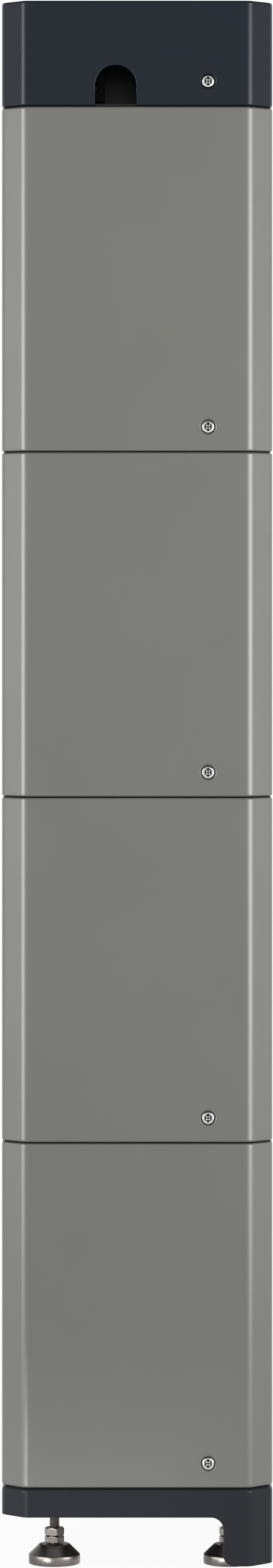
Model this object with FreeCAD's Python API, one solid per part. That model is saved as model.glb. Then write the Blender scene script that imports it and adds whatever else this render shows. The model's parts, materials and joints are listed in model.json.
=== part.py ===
import FreeCAD, Part
import math
import os

# Home battery tower: a base on four levelling feet, four equal modules and a hood over the
# control unit. Millimetres, Z up, origin on the floor under the middle of the tower.
# The end with the cable arch and the visible lock screws faces -Y, the skirted front +X.

Vector = FreeCAD.Vector
origin = Vector(0, 0, 0)
along_x = Vector(1, 0, 0)
along_y = Vector(0, 1, 0)
along_z = Vector(0, 0, 1)

# Casing outline, shared by base, modules and hood
unit_width = 262.0
end_room = 63.0
corner_chamfer = 22.0
bend_radius = 12.0
sheet = 2.0
rim_flange = 6.0
module_rim_chamfer = 1.5
hood_rim_chamfer = 1.8
base_rim_chamfer = 2.6

# Stack
module_count = 4
module_pitch = 334.0
casing_gap = 1.2
ground_gap = 52.0
base_height = 27.4
hood_height = 101.4

# Skirt on the front of the base
skirt_gap = 4.8
skirt_return_x = 83.3
skirt_inner_radius = 12.0
skirt_corner_radius = 10.5

# Cable arch in the hood
arch_x = -20.7
arch_width = 40.0
arch_height = 39.2

# Lock screw: its seat in the end wall and its clearance
lock_x = 68.5
lock_rise = 23.5
head_bore_diameter = 15.4
head_height = 3.6
head_sink = 0.4
screw_diameter = 6.0
seat_width = 30.0
seat_sheet = 3.0

# Tongues on every lid and on the base deck
tongue_width = 24.0
tongue_sheet = 3.0
tongue_over = 8.0
tongue_taper = 5.0
screw_slot_clearance = 0.6
tongue_clearance = 0.3
floor_slot_clearance = 0.7

# Lid, load pads and floor
lid_clearance = 1.0
pad_length = 44.0
pad_width = 18.0
pad_x = 100.0
pad_y = 120.0

# Blind-mate connectors
plug_length = 90.0
plug_width = 24.0
plug_rise = 28.0
plug_end_room = 37.0
plug_lead_in = 2.5
socket_wall = 5.0
plug_clearance = 0.6

# Cells and what binds them
cell_thickness = 50.0
cell_width = 160.0
cell_height = 118.0
cell_gap = 0.8
row_gap = 4.0
cells_across = 4
cell_rows = 2
cell_tiers = 2
cell_lift = 4.0
shelf_thickness = 10.0
shelf_air = 8.0
terminal_inset = 34.0
busbar_width = 24.0
busbar_length = 66.0
busbar_thickness = 6.0
end_plate_thickness = 14.0
end_plate_over = 20.0
strap_width = 26.0
strap_thickness = 2.0
strap_y = 80.0

# Cell monitoring board
board_edge = 1.3
board_height = 190.0
board_thickness = 1.6
board_clearance = 4.0
board_lift = 60.0
board_part_depth = 9.0
board_part_height = 16.0
board_socket_width = 32.0
cooling_bar_width = 140.0

# Levelling feet
foot_left_x = -80.5
foot_right_x = 89.6
foot_end_inset = 50.0
foot_pad_diameter = 50.0
foot_pad_band = 9.1
foot_pad_height = 19.1
foot_rim_diameter = 29.0
pocket_diameter = 9.2
neck_diameter = 7.0
neck_reach = 4.5
neck_clearance = 0.35
tilt_height = 12.2
hex_flats = 17.0
foot_hex_bottom = 20.2
foot_hex_height = 6.8
locknut_height = 8.0
stud_diameter = 10.0
stud_room = 5.4
foot_turn = -15.0
thread_clearance = 0.3

# Base frame
rail_width = 44.0
rail_wall = 2.5
rail_end_gap = 8.0
boss_flats = 17.0
boss_height = 16.0

# Flats on the small round parts that repeat
pad_flats = 40
shank_flats = 20

# Control unit under the hood
chassis_clearance = 1.0
chassis_wall_length = 300.0
panel_y = -105.0
panel_height = 78.0
panel_edge = 4.0
terminal_edge = 17.0
terminal_spacing = 30.0
terminal_count = 3
terminal_rise = 24.0
terminal_block = 26.0
terminal_block_depth = 14.0
terminal_stud_diameter = 8.0
terminal_stud_length = 15.0
signal_block_length = 60.0
signal_block_height = 15.0
signal_block_depth = 12.0
signal_block_rise = 58.0
signal_ways = 6
signal_groove = 3.0
isolator_x = 66.0
isolator_rise = 40.0
isolator_size = 48.0
isolator_depth = 44.0
isolator_shaft_diameter = 8.0
knob_diameter = 34.0
knob_depth = 9.0
knob_grip_width = 9.0
knob_grip_height = 11.0
knob_grip_inset = 2.0
knob_gap = 0.4
contactor_width = 54.0
contactor_depth = 60.0
contactor_height = 70.0
contactor_stud_width = 6.0
contactor_stud_height = 12.0
fuse_size = 26.0
fuse_length = 70.0
fuse_blade_reach = 12.0
fuse_blade_width = 17.0
fuse_blade_thickness = 4.0
fuse_clip_width = 7.0
fuse_base_thickness = 4.0
fuse_lift = 12.0
unit_gap = 12.0
control_board_width = 150.0
control_board_depth = 90.0
control_part_count = 5
control_part_pitch = 25.0
standoff_height = 12.0
standoff_width = 7.0

# The cell pack in a module, above its floor
lid_room = 2 * sheet
pack_half_width = (cells_across * (cell_thickness + cell_gap) - cell_gap) / 2
pack_half_depth = (cell_rows * (cell_width + row_gap) - row_gap) / 2
tier_rise = cell_height + 2 * busbar_thickness + shelf_air + shelf_thickness
terminal_y = pack_half_depth - terminal_inset
riser_back = pack_half_depth + 2 * busbar_thickness

# The casing closes round the pack and the room at its two ends
half_width = unit_width / 2
half_depth = pack_half_depth + end_room
unit_depth = 2 * half_depth
plug_y = half_depth - plug_end_room
panel_half_width = half_width - rim_flange - chassis_clearance - sheet

# Levels worked out from the stack
base_top = ground_gap + base_height
rail_top = base_top - 2 * sheet
stud_top = rail_top - stud_room
casing_height = module_pitch - casing_gap
stack_bottom = base_top + casing_gap
hood_bottom = stack_bottom + module_count * module_pitch
hood_top = hood_bottom + hood_height
chassis_top = hood_bottom + sheet

# Depths behind the end face, from the screw's seat inwards
seat_depth = head_sink + head_height
seat_back = seat_depth + seat_sheet
tongue_front = seat_back + tongue_clearance
tongue_back = tongue_front + tongue_sheet


# Plain shapes

def box(x0, x1, y0, y1, z0, z1):
    return Part.makeBox(x1 - x0, y1 - y0, z1 - z0, Vector(x0, y0, z0))


def centred_box(x, y, size_x, size_y, z0, z1):
    return box(x - size_x / 2, x + size_x / 2, y - size_y / 2, y + size_y / 2, z0, z1)


def cylinder(radius, length, start, direction):
    return Part.makeCylinder(radius, length, start, direction)


def joined(shapes):
    return shapes[0].fuse(shapes[1:]).removeSplitter() if len(shapes) > 1 else shapes[0]


def polygon(sides, corner_radius, centre, axis, turn=0):
    """Closed regular polygon round an axis along Y or Z."""
    up = axis.cross(along_x)
    angles = [math.radians(turn + 360 * step / sides) for step in range(sides + 1)]
    spokes = [along_x * math.cos(angle) + up * math.sin(angle) for angle in angles]
    return Part.makePolygon([centre + spoke * corner_radius for spoke in spokes])


def prism(sides, corner_radius, length, start, axis, turn=0):
    return Part.Face(polygon(sides, corner_radius, start, axis, turn)).extrude(axis * length)


def hexagon(flats, z0, z1, x, y, turn=0):
    return prism(6, flats / math.sqrt(3), z1 - z0, Vector(x, y, z0), along_z, turn)


def shank(diameter, length, start, axis):
    return prism(shank_flats, diameter / 2, length, start, axis)


def shank_bore(diameter, length, start, axis):
    """Hole for a shank, with flats that leave the full diameter clear."""
    return shank(diameter / math.cos(math.pi / shank_flats), length, start, axis)


def tapered_disc(sides, low_radius, high_radius, low, high):
    """Conical step with flat facets between two centres."""
    rings = [[vertex.Point for vertex in polygon(sides, radius, centre, along_z).OrderedVertexes]
             for radius, centre in ((low_radius, low), (high_radius, high))]
    faces = [Part.Face(Part.makePolygon(ring + [ring[0]])) for ring in rings]
    for step in range(sides):
        following = (step + 1) % sides
        corners = [rings[0][step], rings[0][following], rings[1][following], rings[1][step]]
        faces.append(Part.Face(Part.makePolygon(corners + [corners[0]])))
    return Part.makeSolid(Part.makeShell(faces))


def both_ends(shape):
    return [shape, shape.mirror(origin, along_y)]


# Casing outline: a rectangle with chamfered, softly bent corners

def rounded_wire(points, radius):
    """Closed wire through the points with a tangent arc at each corner."""
    edges = []
    tangents = []
    count = len(points)
    for index, corner in enumerate(points):
        before = (points[index - 1] - corner).normalize()
        after = (points[(index + 1) % count] - corner).normalize()
        half_angle = before.getAngle(after) / 2
        reach = radius / math.tan(half_angle)
        middle = corner + (before + after).normalize() * (radius / math.sin(half_angle) - radius)
        tangents.append((corner + before * reach, middle, corner + after * reach))
    for index, (start, middle, end) in enumerate(tangents):
        following = tangents[(index + 1) % count][0]
        edges.append(Part.Arc(start, middle, end).toShape())
        edges.append(Part.LineSegment(end, following).toShape())
    return Part.Wire(edges)


def casing(inset, z0, z1):
    """The casing outline drawn inwards by inset, as a solid between two levels."""
    radius = max(bend_radius - inset, sheet)
    outline = rounded_wire(casing_corners(inset, z0), radius)
    return Part.Face(outline).extrude(Vector(0, 0, z1 - z0))


def mitred(inset, z0, z1):
    """The same outline with sharp corners, for plates that lie inside the casing."""
    points = casing_corners(inset, z0)
    return Part.Face(Part.makePolygon(points + [points[0]])).extrude(Vector(0, 0, z1 - z0))


def casing_corners(inset, z):
    across = half_width - inset
    deep = half_depth - inset
    leg = corner_chamfer - inset * (2 - math.sqrt(2))
    corners = [(across, deep - leg), (across - leg, deep)]
    corners += [(leg - across, deep), (-across, deep - leg)]
    corners += [(-x, -y) for x, y in corners]
    return [Vector(x, y, z) for x, y in corners]


def soft_casing(z0, z1, chamfer, levels):
    """The full outline with its rim broken at the given levels."""
    solid = casing(0, z0, z1)
    flat = [edge for edge in solid.Edges if edge.BoundBox.ZLength < 0.001]
    rims = [edge for edge in flat if any(abs(edge.BoundBox.ZMin - level) < 0.001 for level in levels)]
    return solid.makeChamfer(chamfer, rims)


# Lock seat: a plate behind the end wall with a bore for the screw head

def lock_seat(z0):
    z = z0 + lock_rise
    low = z - seat_width / 2
    high = z + seat_width / 2
    centre = -half_depth + (sheet + seat_back) / 2
    return centred_box(lock_x, centre, seat_width, seat_back - sheet, low, high)


def lock_bore(z0):
    centre = Vector(lock_x, -half_depth, z0 + lock_rise)
    head_room = cylinder(head_bore_diameter / 2, seat_depth, centre, along_y)
    reach = screw_diameter / 2 + screw_slot_clearance
    shank_room = box(lock_x - reach, lock_x + reach, -half_depth + seat_depth, -half_depth + seat_back,
                     centre.z - reach, centre.z + reach)
    return joined([head_room, shank_room])


# Lids and the base deck: plate, load pads, lock tongues and guide tongues

def tongue(rim_top, x, slotted):
    low = rim_top - sheet
    screw_z = rim_top + casing_gap + lock_rise
    high = screw_z + tongue_over
    half = tongue_width / 2
    slot = screw_diameter / 2 + screw_slot_clearance
    outline = [(half - tongue_taper, high), (half, high - tongue_taper), (half, low)]
    outline += [(-half, low), (-half, high - tongue_taper), (tongue_taper - half, high)]
    if slotted:
        bevel = slot * (math.sqrt(2) - 1)
        outline += [(-slot, high), (-slot, screw_z - bevel), (-bevel, screw_z - slot)]
        outline += [(bevel, screw_z - slot), (slot, screw_z - bevel), (slot, high)]
    front = -half_depth + tongue_front
    points = [Vector(x + across, front, z) for across, z in outline]
    return Part.Face(Part.makePolygon(points + [points[0]])).extrude(along_y * tongue_sheet)


def carrier_plate(rim_top):
    """Plate under the casing's rim flange, with all that the unit above stands on."""
    top = rim_top - sheet
    pieces = [mitred(sheet + lid_clearance, top - sheet, top)]
    for x in (-pad_x, pad_x):
        for y in (-pad_y, pad_y):
            pieces.append(centred_box(x, y, pad_width, pad_length, top, rim_top + casing_gap))
    for x, slotted in ((lock_x, True), (-lock_x, False)):
        pieces += both_ends(tongue(rim_top, x, slotted))
    return joined(pieces)


def floor_openings(z0, depth):
    """Room in a floor for the tongues and the plug of the unit below."""
    shapes = []
    clear = floor_slot_clearance
    front = -half_depth + tongue_front - clear
    back = -half_depth + tongue_back + clear
    reach = tongue_width / 2 + clear
    for x in (lock_x, -lock_x):
        shapes += both_ends(box(x - reach, x + reach, front, back, z0, z0 + depth))
    shapes.append(plug_room(z0, z0 + depth))
    return shapes


# Blind-mate connectors

def plug_room(z0, z1):
    grow = 2 * plug_clearance
    return centred_box(0, plug_y, plug_length + grow, plug_width + grow, z0, z1)


def plug(rim_top):
    low = rim_top - sheet
    high = rim_top + casing_gap + plug_rise
    block = centred_box(0, plug_y, plug_length, plug_width, low, high)
    top_edges = [edge for edge in block.Edges if edge.BoundBox.ZMin > high - 0.001]
    return block.makeChamfer(plug_lead_in, top_edges)


def socket(z0):
    low = z0 + sheet
    top = z0 + plug_rise + plug_clearance
    grow = 2 * (plug_clearance + socket_wall)
    body = centred_box(0, plug_y, plug_length + grow, plug_width + grow, low, top + socket_wall)
    return body.cut(plug_room(low, top))


# Battery module

def module_shell(z0):
    z1 = z0 + casing_height
    outer = soft_casing(z0, z1, module_rim_chamfer, (z0, z1))
    hollow = mitred(sheet, z0 + sheet, z1 - sheet)
    mouth = mitred(rim_flange, z1 - sheet, z1)
    shell = outer.cut([hollow, mouth] + floor_openings(z0, sheet))
    seated = joined([shell] + both_ends(lock_seat(z0)))
    return seated.cut(both_ends(lock_bore(z0)))


def cell_places(z0):
    """Low corner of every cell, tier by tier and row by row."""
    for tier in range(cell_tiers):
        z = z0 + sheet + cell_lift + tier * tier_rise
        for row in range(cell_rows):
            y = -pack_half_depth + row * (cell_width + row_gap)
            for column in range(cells_across):
                yield -pack_half_width + column * (cell_thickness + cell_gap), y, z


def cells(z0):
    return Part.makeCompound([
        box(x, x + cell_thickness, y, y + cell_width, z, z + cell_height)
        for x, y, z in cell_places(z0)
    ])


def series_link(x, y, z):
    """Bar over two neighbouring cells, on the terminals that meet there."""
    return centred_box(x, y, busbar_length, busbar_width, z, z + busbar_thickness)


def lead(side, z, z_end):
    """Bar from the pack's first cell over its end, then up or down to a level."""
    x = -pack_half_width + cell_thickness / 2
    front = riser_back - busbar_thickness
    run_centre = side * (terminal_y + front) / 2
    run = centred_box(x, run_centre, busbar_width, front - terminal_y, z, z + busbar_thickness)
    low = min(z, z_end)
    high = max(z, z_end) + busbar_thickness
    riser_centre = side * (riser_back - busbar_thickness / 2)
    riser = centred_box(x, riser_centre, busbar_width, busbar_thickness, low, high)
    return joined([run, riser])


def plug_lead(z, z_end, reach):
    """Lead at the plug end, with a foot that runs across to the plug or the socket."""
    riser = lead(1, z, z_end)
    left = -pack_half_width + (cell_thickness - busbar_width) / 2
    front = riser_back - busbar_thickness
    back = plug_y - plug_width / 2 + busbar_width
    foot = box(left, -reach, front, back, z_end, z_end + busbar_thickness)
    return joined([riser, foot])


def row_bridge(z):
    """Bar along the pack that joins the last cells of both rows, clear of the series links."""
    x = pack_half_width - cell_thickness / 2
    span = 2 * terminal_y + busbar_width
    bar = centred_box(x, 0, busbar_width, span, z + busbar_thickness, z + 2 * busbar_thickness)
    leg = centred_box(x, -terminal_y, busbar_width, busbar_width, z, z + busbar_thickness)
    return joined([bar] + both_ends(leg))


def busbars(z0):
    bars = []
    pitch = cell_thickness + cell_gap
    inner_y = row_gap / 2 + terminal_inset
    levels = [z0 + sheet + cell_lift + cell_height + tier * tier_rise for tier in range(cell_tiers)]
    for z in levels:
        for link in range(cells_across - 1):
            x = -pack_half_width + cell_thickness / 2 + (link + 0.5) * pitch
            y = terminal_y if link % 2 else inner_y
            bars += [series_link(x, y, z), series_link(x, -y, z)]
        bars.append(row_bridge(z))
    bars.append(joined([lead(-1, levels[0], levels[1]), lead(-1, levels[1], levels[1])]))
    socket_reach = plug_length / 2 + plug_clearance + socket_wall
    bars.append(plug_lead(levels[0], z0 + sheet + cell_lift, socket_reach))
    bars.append(plug_lead(levels[-1], z0 + casing_height - lid_room - busbar_thickness, 0))
    return Part.makeCompound(bars)


def clamp_frame(z0):
    """End plates, base plate, shelf between the tiers and straps that bind the cells."""
    low = z0 + sheet
    top = low + cell_lift + (cell_tiers - 1) * tier_rise + cell_height + end_plate_over
    outer = pack_half_width + end_plate_thickness
    depth = 2 * pack_half_depth
    pieces = [centred_box(0, 0, 2 * outer, depth, low, low + cell_lift)]
    for side in (-1, 1):
        centre = side * (pack_half_width + end_plate_thickness / 2)
        pieces.append(centred_box(centre, 0, end_plate_thickness, depth, low, top))
    for tier in range(1, cell_tiers):
        shelf_top = low + cell_lift + tier * tier_rise
        pieces.append(centred_box(0, 0, 2 * outer, depth, shelf_top - shelf_thickness, shelf_top))
    for y in (-strap_y, strap_y):
        pieces.append(centred_box(0, y, 2 * outer, strap_width, top, top + strap_thickness))
    return joined(pieces)


def cell_board(z0):
    """Monitoring board on posts at the pack's end, with its sockets and a cooling bar."""
    low = z0 + board_lift
    gap = 2 * busbar_thickness + board_clearance
    back = -pack_half_depth - gap
    y = back - board_thickness / 2
    post = end_plate_thickness / 2
    post_x = pack_half_width + post
    board_width = 2 * post_x + post + 2 * board_edge
    pieces = [centred_box(0, y, board_width, board_thickness, low, low + board_height)]
    for x in (-post_x, post_x):
        for z in (low + post, low + board_height - 2 * post):
            pieces.append(centred_box(x, back + gap / 2, post, gap, z, z + post))
    front = back - board_thickness - board_part_depth / 2
    for x in (-pack_half_width / 2, 0, pack_half_width / 2):
        z = low + board_part_height
        pieces.append(centred_box(x, front, board_socket_width, board_part_depth, z, z + board_part_height))
    z = low + board_height - 2 * board_part_height
    pieces.append(centred_box(0, front, cooling_bar_width, board_part_depth, z, z + board_part_height))
    return joined(pieces)


# Base: plinth with its skirt, rails, threaded bosses

def under_plinth():
    """All that is cut away under the plinth, left of the skirt's rounded return."""
    left = -half_width - sheet
    corner_x = skirt_return_x + skirt_corner_radius
    corner_z = skirt_gap + skirt_corner_radius
    root_x = skirt_return_x - skirt_inner_radius
    root_z = ground_gap - skirt_inner_radius
    front = -half_depth - sheet

    def at(x, z):
        return Vector(x, front, z)

    def arc(x, z, radius, degrees):
        angle = math.radians(degrees)
        return at(x + radius * math.cos(angle), z + radius * math.sin(angle))

    edges = [
        Part.LineSegment(at(left, 0), at(corner_x, 0)),
        Part.LineSegment(at(corner_x, 0), at(corner_x, skirt_gap)),
        Part.Arc(at(corner_x, skirt_gap), arc(corner_x, corner_z, skirt_corner_radius, 225),
                 at(skirt_return_x, corner_z)),
        Part.LineSegment(at(skirt_return_x, corner_z), at(skirt_return_x, root_z)),
        Part.Arc(at(skirt_return_x, root_z), arc(root_x, root_z, skirt_inner_radius, 45),
                 at(root_x, ground_gap)),
        Part.LineSegment(at(root_x, ground_gap), at(left, ground_gap)),
        Part.LineSegment(at(left, ground_gap), at(left, 0)),
    ]
    face = Part.Face(Part.Wire([edge.toShape() for edge in edges]))
    return face.extrude(along_y * (unit_depth + 2 * sheet))


def base_plinth():
    outer = soft_casing(skirt_gap, base_top, base_rim_chamfer, (base_top,))
    hollow = mitred(sheet, skirt_gap, base_top - sheet)
    mouth = mitred(rim_flange, base_top - sheet, base_top)
    return outer.cut([hollow, mouth, under_plinth()])


def foot_places():
    end_y = half_depth - foot_end_inset
    names = ("left_near", "right_near", "left_far", "right_far")
    places = [(x, y) for y in (-end_y, end_y) for x in (foot_left_x, foot_right_x)]
    return list(zip(names, places))


def base_rails():
    """Two square tubes along the feet, holed for the foot bosses and the studs above them."""
    length = unit_depth - 2 * (sheet + rail_end_gap)
    rails = []
    for x in (foot_left_x, foot_right_x):
        tube = centred_box(x, 0, rail_width, length, ground_gap, rail_top)
        inner = rail_width - 2 * rail_wall
        rails.append(tube.cut(centred_box(x, 0, inner, length, ground_gap + rail_wall, rail_top - rail_wall)))
    holes = [hexagon(boss_flats, ground_gap, rail_top, x, y) for name, (x, y) in foot_places()]
    return Part.makeCompound(rails).cut(holes)


def foot_bosses():
    bore = stud_diameter + 2 * thread_clearance
    bosses = []
    for name, (x, y) in foot_places():
        boss = hexagon(boss_flats, ground_gap, ground_gap + boss_height, x, y)
        bosses.append(boss.cut(shank_bore(bore, boss_height, Vector(x, y, ground_gap), along_z)))
    return Part.makeCompound(bosses)


# Levelling foot

def foot_pad(x, y):
    """Round pad with a conical top and a pocket that the stud's neck stands in."""
    outer = foot_pad_diameter / 2
    shoulder = Vector(x, y, foot_pad_band)
    top = Vector(x, y, foot_pad_height)
    band = prism(pad_flats, outer, foot_pad_band, Vector(x, y, 0), along_z)
    cone = tapered_disc(pad_flats, outer, foot_rim_diameter / 2, shoulder, top)
    seat = tilt_height - neck_reach - neck_clearance
    pocket = shank_bore(pocket_diameter, foot_pad_height - seat, Vector(x, y, seat), along_z)
    return joined([band, cone]).cut(pocket)


def foot_stud(x, y):
    """Neck that stands in the pad's pocket, hexagon and the stud above it."""
    neck_bottom = tilt_height - neck_reach
    hex_top = foot_hex_bottom + foot_hex_height
    neck_length = foot_hex_bottom - neck_bottom
    neck = shank(neck_diameter, neck_length, Vector(x, y, neck_bottom), along_z)
    body = hexagon(hex_flats, foot_hex_bottom, hex_top, x, y, foot_turn)
    stud = shank(stud_diameter, stud_top - hex_top, Vector(x, y, hex_top), along_z)
    return joined([neck, body, stud])


def locknut(x, y):
    low = foot_hex_bottom + foot_hex_height
    bore = shank_bore(stud_diameter + 2 * thread_clearance, locknut_height, Vector(x, y, low), along_z)
    return hexagon(hex_flats, low, low + locknut_height, x, y, foot_turn).cut(bore)


# Hood and control unit

def arch_room():
    spring = hood_bottom + arch_height - arch_width / 2
    front = -half_depth - sheet
    depth = 2 * sheet + rim_flange
    straight = centred_box(arch_x, front + depth / 2, arch_width, depth, hood_bottom - sheet, spring)
    return joined([straight, cylinder(arch_width / 2, depth, Vector(arch_x, front, spring), along_y)])


def hood():
    outer = soft_casing(hood_bottom, hood_top, hood_rim_chamfer, (hood_bottom, hood_top))
    hollow = mitred(sheet, hood_bottom + sheet, hood_top - sheet)
    mouth = mitred(rim_flange, hood_bottom, hood_bottom + sheet)
    cover = outer.cut([hollow, mouth])
    seated = joined([cover] + both_ends(lock_seat(hood_bottom)))
    return seated.cut(both_ends(lock_bore(hood_bottom)) + [arch_room()])


def chassis():
    """Floor that stands on the top module, with two walls that carry the hood."""
    inset = rim_flange + chassis_clearance
    floor = mitred(inset, hood_bottom, chassis_top).cut(floor_openings(hood_bottom, sheet))
    arch_notch = centred_box(arch_x, -half_depth, arch_width, 2 * (inset + sheet), hood_bottom, chassis_top)
    walls = []
    for side in (-1, 1):
        x = side * (half_width - inset - sheet / 2)
        walls.append(centred_box(x, 0, sheet, chassis_wall_length, hood_bottom, hood_top - sheet))
    return joined([floor.cut(arch_notch)] + walls)


def connector_panel():
    panel = centred_box(0, panel_y, 2 * panel_half_width, sheet, chassis_top, chassis_top + panel_height)
    hole = Vector(isolator_x, panel_y - sheet / 2, chassis_top + isolator_rise)
    return panel.cut(shank_bore(isolator_shaft_diameter + 2 * knob_gap, sheet, hole, along_y))


def terminal_places():
    first = terminal_edge - panel_half_width
    return [first + step * terminal_spacing for step in range(terminal_count)]


def power_terminals():
    """Insulating blocks on the panel, each with a stud: plus, minus and earth."""
    face = panel_y - sheet / 2
    y = face - terminal_block_depth / 2
    z = chassis_top + terminal_rise
    half = terminal_block / 2
    pieces = []
    for x in terminal_places():
        block = centred_box(x, y, terminal_block, terminal_block_depth, z - half, z + half)
        tip = Vector(x, face - terminal_block_depth - terminal_stud_length, z)
        stud = shank(terminal_stud_diameter, terminal_stud_length, tip, along_y)
        pieces.append(joined([block, stud]))
    return Part.makeCompound(pieces)


def signal_block():
    """Terminal strip for the data wires, grooved between its ways."""
    face = panel_y - sheet / 2
    x = terminal_places()[1]
    low = chassis_top + signal_block_rise
    front = face - signal_block_depth
    strip = centred_box(x, face - signal_block_depth / 2, signal_block_length, signal_block_depth,
                        low, low + signal_block_height)
    way = signal_block_length / signal_ways
    grooves = [centred_box(x - signal_block_length / 2 + step * way, front, signal_groove / 2, signal_groove,
                           low, low + signal_block_height) for step in range(1, signal_ways)]
    return strip.cut(grooves)


def isolator():
    back = panel_y + sheet / 2
    z = chassis_top + isolator_rise
    half = isolator_size / 2
    body = box(isolator_x - half, isolator_x + half, back, back + isolator_depth, z - half, z + half)
    length = sheet + knob_gap + knob_depth / 2
    shaft = shank(isolator_shaft_diameter, length, Vector(isolator_x, back - length, z), along_y)
    return joined([body, shaft])


def isolator_knob():
    """Round knob with a raised grip, on the isolator's shaft in front of the panel."""
    z = chassis_top + isolator_rise
    back = panel_y - sheet / 2 - knob_gap
    disc = shank(knob_diameter, knob_depth, Vector(isolator_x, back - knob_depth, z), along_y)
    grip_half = knob_diameter / 2 - knob_grip_inset
    front = back - knob_depth - knob_grip_height
    grip = box(isolator_x - knob_grip_width / 2, isolator_x + knob_grip_width / 2, front, back - knob_depth,
               z - grip_half, z + grip_half)
    reach = knob_depth / 2 + 2 * knob_gap
    bore_diameter = isolator_shaft_diameter + 2 * knob_gap
    bore = shank_bore(bore_diameter, reach, Vector(isolator_x, back - reach, z), along_y)
    return joined([disc, grip]).cut(bore)


def control_board():
    """Battery management board on four stand-offs, with a row of components."""
    x = panel_half_width - unit_gap - control_board_width / 2
    y = contactor_end() + unit_gap + control_board_depth / 2
    low = chassis_top + standoff_height
    pieces = [centred_box(x, y, control_board_width, control_board_depth, low, low + board_thickness)]
    for side_x in (-1, 1):
        for side_y in (-1, 1):
            post_x = x + side_x * (control_board_width / 2 - standoff_width)
            post_y = y + side_y * (control_board_depth / 2 - standoff_width)
            pieces.append(centred_box(post_x, post_y, standoff_width, standoff_width, chassis_top, low))
    top = low + board_thickness
    for step in range(control_part_count):
        part_x = x + (step - (control_part_count - 1) / 2) * control_part_pitch
        part = centred_box(part_x, y, board_part_height, board_part_height, top, top + board_part_depth)
        pieces.append(part)
    return joined(pieces)


def contactor_end():
    """Where the second contactor ends behind the connector panel."""
    return panel_y + 2 * (unit_gap + contactor_depth)


def contactors():
    pieces = []
    for step in range(2):
        y = panel_y + (step + 1) * unit_gap + (step + 0.5) * contactor_depth
        x = -panel_half_width + unit_gap + contactor_width / 2
        low = chassis_top
        body = centred_box(x, y, contactor_width, contactor_depth, low, low + contactor_height)
        for side in (-1, 1):
            top = low + contactor_height
            stud = centred_box(x + side * contactor_width / 4, y, contactor_stud_width, contactor_stud_width,
                               top, top + contactor_stud_height)
            body = body.fuse(stud)
        pieces.append(body.removeSplitter())
    return Part.makeCompound(pieces)


def main_fuse():
    """Square ceramic fuse between two blades, lying in its holder behind the isolator."""
    reach = fuse_length + 2 * fuse_blade_reach
    x = panel_half_width - unit_gap - reach / 2
    y = panel_y + isolator_depth + unit_gap + fuse_size / 2
    low = chassis_top + fuse_lift
    z = low + fuse_size / 2
    body = centred_box(x, y, fuse_length, fuse_size, low, low + fuse_size)
    blade = centred_box(x, y, reach, fuse_blade_thickness, z - fuse_blade_width / 2, z + fuse_blade_width / 2)
    pieces = [body, blade]
    for side in (-1, 1):
        clip_x = x + side * (fuse_length + fuse_blade_reach) / 2
        pieces.append(centred_box(clip_x, y, fuse_clip_width, fuse_size, chassis_top, z))
    pieces.append(centred_box(x, y, reach, fuse_size, chassis_top, chassis_top + fuse_base_thickness))
    return joined(pieces)


def all_nodes():
    nodes = {
        "base_plinth": base_plinth(),
        "base_rails": base_rails(),
        "foot_bosses": foot_bosses(),
        "base_deck": carrier_plate(base_top),
        "base_plug": plug(base_top),
    }
    for name, (x, y) in foot_places():
        nodes["foot_pad_" + name] = foot_pad(x, y)
        nodes["foot_stud_" + name] = foot_stud(x, y)
        nodes["locknut_" + name] = locknut(x, y)
    for number in range(1, module_count + 1):
        z0 = stack_bottom + (module_count - number) * module_pitch
        prefix = f"module_{number}_"
        nodes[prefix + "casing"] = module_shell(z0)
        nodes[prefix + "lid"] = carrier_plate(z0 + casing_height)
        nodes[prefix + "cells"] = cells(z0)
        nodes[prefix + "busbars"] = busbars(z0)
        nodes[prefix + "clamp_frame"] = clamp_frame(z0)
        nodes[prefix + "cell_board"] = cell_board(z0)
        nodes[prefix + "socket"] = socket(z0)
        nodes[prefix + "plug"] = plug(z0 + casing_height)
    nodes["hood"] = hood()
    nodes["chassis"] = chassis()
    nodes["control_socket"] = socket(hood_bottom)
    nodes["connector_panel"] = connector_panel()
    nodes["power_terminals"] = power_terminals()
    nodes["signal_block"] = signal_block()
    nodes["isolator"] = isolator()
    nodes["isolator_knob"] = isolator_knob()
    nodes["control_board"] = control_board()
    nodes["contactors"] = contactors()
    nodes["main_fuse"] = main_fuse()
    return nodes


os.makedirs("parts", exist_ok=True)
for node, shape in all_nodes().items():
    shape.exportStep(f"parts/{node}.step")
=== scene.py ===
import json
from math import cos, hypot, pi, radians, sin, sqrt, tan, tau

import bmesh
import bpy
from mathutils import Matrix, Vector


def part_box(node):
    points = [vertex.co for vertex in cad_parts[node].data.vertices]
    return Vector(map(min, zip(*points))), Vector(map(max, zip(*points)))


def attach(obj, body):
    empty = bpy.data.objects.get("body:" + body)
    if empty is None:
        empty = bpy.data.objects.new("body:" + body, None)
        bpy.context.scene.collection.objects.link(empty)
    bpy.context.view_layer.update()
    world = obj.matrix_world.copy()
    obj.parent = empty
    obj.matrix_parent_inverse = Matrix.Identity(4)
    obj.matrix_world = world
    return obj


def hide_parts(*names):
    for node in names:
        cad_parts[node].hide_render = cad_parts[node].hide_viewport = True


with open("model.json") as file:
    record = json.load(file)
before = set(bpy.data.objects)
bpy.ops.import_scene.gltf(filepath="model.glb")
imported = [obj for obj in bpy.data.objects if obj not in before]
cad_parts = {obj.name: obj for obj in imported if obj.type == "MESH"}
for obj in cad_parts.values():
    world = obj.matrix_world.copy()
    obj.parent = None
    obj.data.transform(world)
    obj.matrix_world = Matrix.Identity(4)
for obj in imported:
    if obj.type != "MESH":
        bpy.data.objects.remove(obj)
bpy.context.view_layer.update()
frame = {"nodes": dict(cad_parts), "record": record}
nodes = frame["nodes"]
scene = bpy.context.scene
print("frame loaded,", len(nodes), "nodes")


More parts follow.
